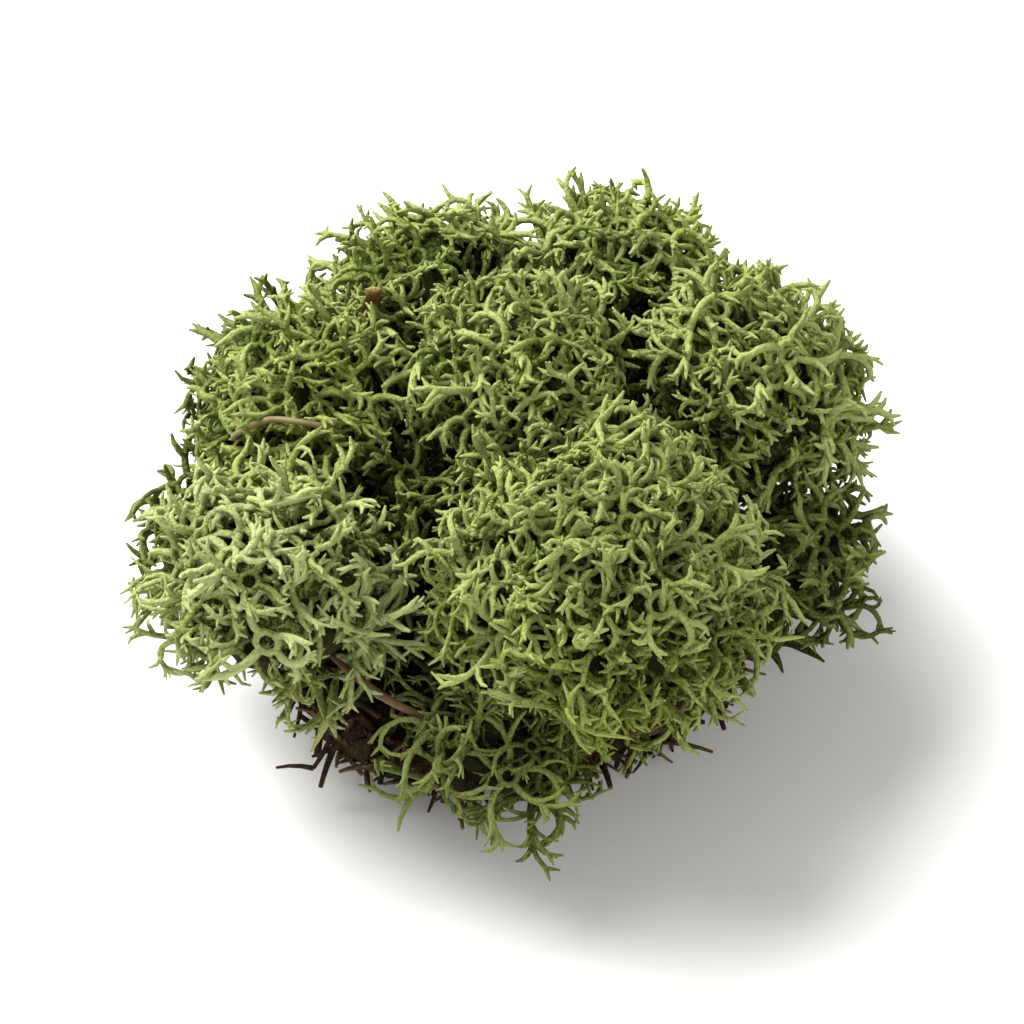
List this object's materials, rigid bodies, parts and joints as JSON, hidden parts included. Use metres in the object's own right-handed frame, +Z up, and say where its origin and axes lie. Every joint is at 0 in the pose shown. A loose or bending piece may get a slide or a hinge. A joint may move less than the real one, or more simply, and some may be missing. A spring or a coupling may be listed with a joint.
{
  "type": "reindeer moss clump",
  "caption": "Clump of green dyed, preserved reindeer moss: round heads of fine star-tipped branchlets on a low mat of old brown stalks, with bits of forest litter.",
  "frame": {"origin": "centre of the flat spot under the mat of old stalks, on which the clump rests", "axes": "+Z up, +X to the right and -Y towards the viewer, with the pale head and the broad front head facing -Y"},
  "size_m": [0.0687, 0.0677, 0.0451],
  "materials": {
    "lichen_pale": "matt, pale yellow-green dyed lichen",
    "lichen_green": "matt, mid moss-green dyed lichen",
    "lichen_shaded": "matt, darker olive-green dyed lichen",
    "old_stalks": "matt grey-brown dead stalks",
    "dry_litter": "dry reddish-brown needles and leaf"
  },
  "bodies": {
    "root": {"head_front_left": "lichen_pale", "head_front_broad": "lichen_green", "head_front_low": "lichen_shaded", "head_inner_cleft": "lichen_shaded", "head_left_crown": "lichen_green", "head_centre_crown": "lichen_green", "head_right": "lichen_green", "head_right_low": "lichen_shaded", "head_back_left": "lichen_green", "head_back_right": "lichen_green", "head_left_low": "lichen_shaded", "head_back_left_low": "lichen_shaded", "head_back_low": "lichen_shaded", "head_back_right_low": "lichen_shaded", "old_stalk_mat": "old_stalks", "needle_front_cleft": "dry_litter", "needle_front_right": "dry_litter", "stem_left_crown": "dry_litter", "leaf_scrap_back_left": "dry_litter"}
  },
  "joints": []
}
